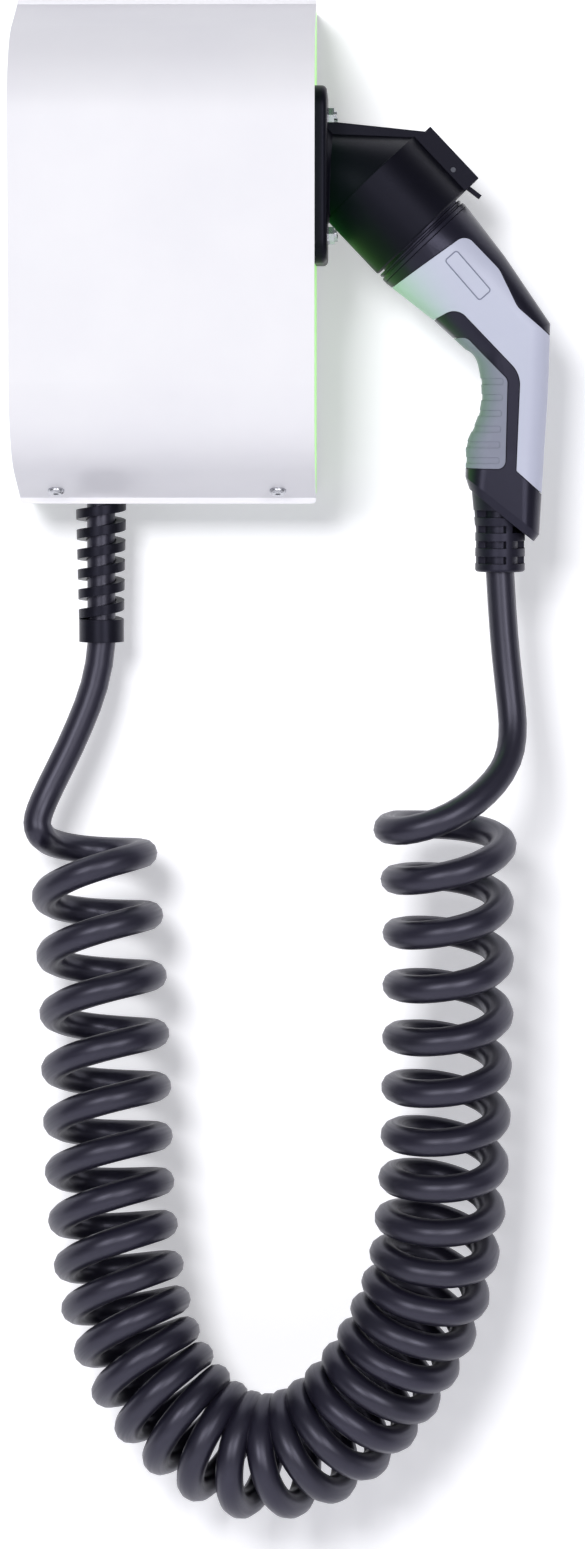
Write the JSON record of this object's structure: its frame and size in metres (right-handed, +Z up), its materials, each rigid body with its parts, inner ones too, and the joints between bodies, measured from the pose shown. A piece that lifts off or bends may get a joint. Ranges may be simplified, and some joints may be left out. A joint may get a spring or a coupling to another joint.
{
  "type": "ev wallbox",
  "caption": "White wall charger with glowing side panels, a holster on its right side, and a connector on a coiled lead that hangs in a U",
  "frame": {"origin": "centre of the four wall screw holes, on the back face that lies on the wall", "axes": "+Z up, +Y into the wall, -Y out of the front, +X to the side of the holster"},
  "size_m": [0.3071, 0.13, 0.8927],
  "materials": {
    "white_powder_coat": "satin",
    "opal_panel": "translucent, lit from inside",
    "zinc_steel": "zinc plated",
    "stainless_steel": "satin",
    "brass": "bare",
    "light_strip": "white board",
    "green_lamp": "glowing lens",
    "module_grey": "fine grain",
    "circuit_board": "solder mask",
    "component_black": "moulded",
    "black_moulding": "satin grain",
    "gland_black": "smooth nylon",
    "cheek_grey": "fine grain",
    "grip_rubber": "soft",
    "black_rubber": "matt",
    "cable_sheath": "matt"
  },
  "bodies": {
    "wallbox": {"cover": "white_powder_coat", "left_side_panel": "opal_panel", "right_side_panel": "opal_panel", "back_tray": "zinc_steel", "rivet_nuts": "zinc_steel", "din_rail": "zinc_steel", "board_standoffs": "zinc_steel", "board_screws": "zinc_steel", "earth_stud": "zinc_steel", "holster_backing": "zinc_steel", "latch_pin": "zinc_steel", "latch_spring": "zinc_steel", "cover_screws": "stainless_steel", "holster_bolts": "stainless_steel", "holster_nuts": "stainless_steel", "earth_nut": "brass", "contact_sleeves": "brass", "left_light_strip": "light_strip", "right_light_strip": "light_strip", "left_leds": "green_lamp", "right_leds": "green_lamp", "contactor": "module_grey", "residual_current_monitor": "module_grey", "energy_meter": "module_grey", "power_supply": "module_grey", "terminal_block": "module_grey", "controller_board": "circuit_board", "board_components": "component_black", "holster": "black_moulding", "plug_shell_front": "black_moulding", "plug_shell_rear": "black_moulding", "plug_collar": "black_moulding", "plug_nose": "black_moulding", "contact_carrier": "black_moulding", "cable_clamp": "black_moulding", "gland_body": "gland_black", "gland_lock_nut": "gland_black", "bend_guard": "gland_black", "plug_cheek_front": "cheek_grey", "plug_cheek_rear": "cheek_grey", "plug_grip_front": "grip_rubber", "plug_grip_rear": "grip_rubber", "gland_seal": "black_rubber", "supply_grommet": "black_rubber", "plug_boot": "black_rubber", "cable_sheath": "cable_sheath", "plug_sheath": "cable_sheath", "wallbox_lead": "cable_sheath", "lead_coil": "cable_sheath", "plug_lead": "cable_sheath"},
    "latch_lever": {"latch_lever": "black_moulding"}
  },
  "joints": [
    {"name": "latch_hinge", "type": "hinge", "parent": "wallbox", "child": "latch_lever", "pos_m": [0.16499, -0.065, 0.04626], "axis": [0, 1, 0], "range_deg": [0, 8], "stiffness_Nm_per_rad": 0.05, "springref_deg": -5.73, "deforming": ["latch_spring"]}
  ]
}
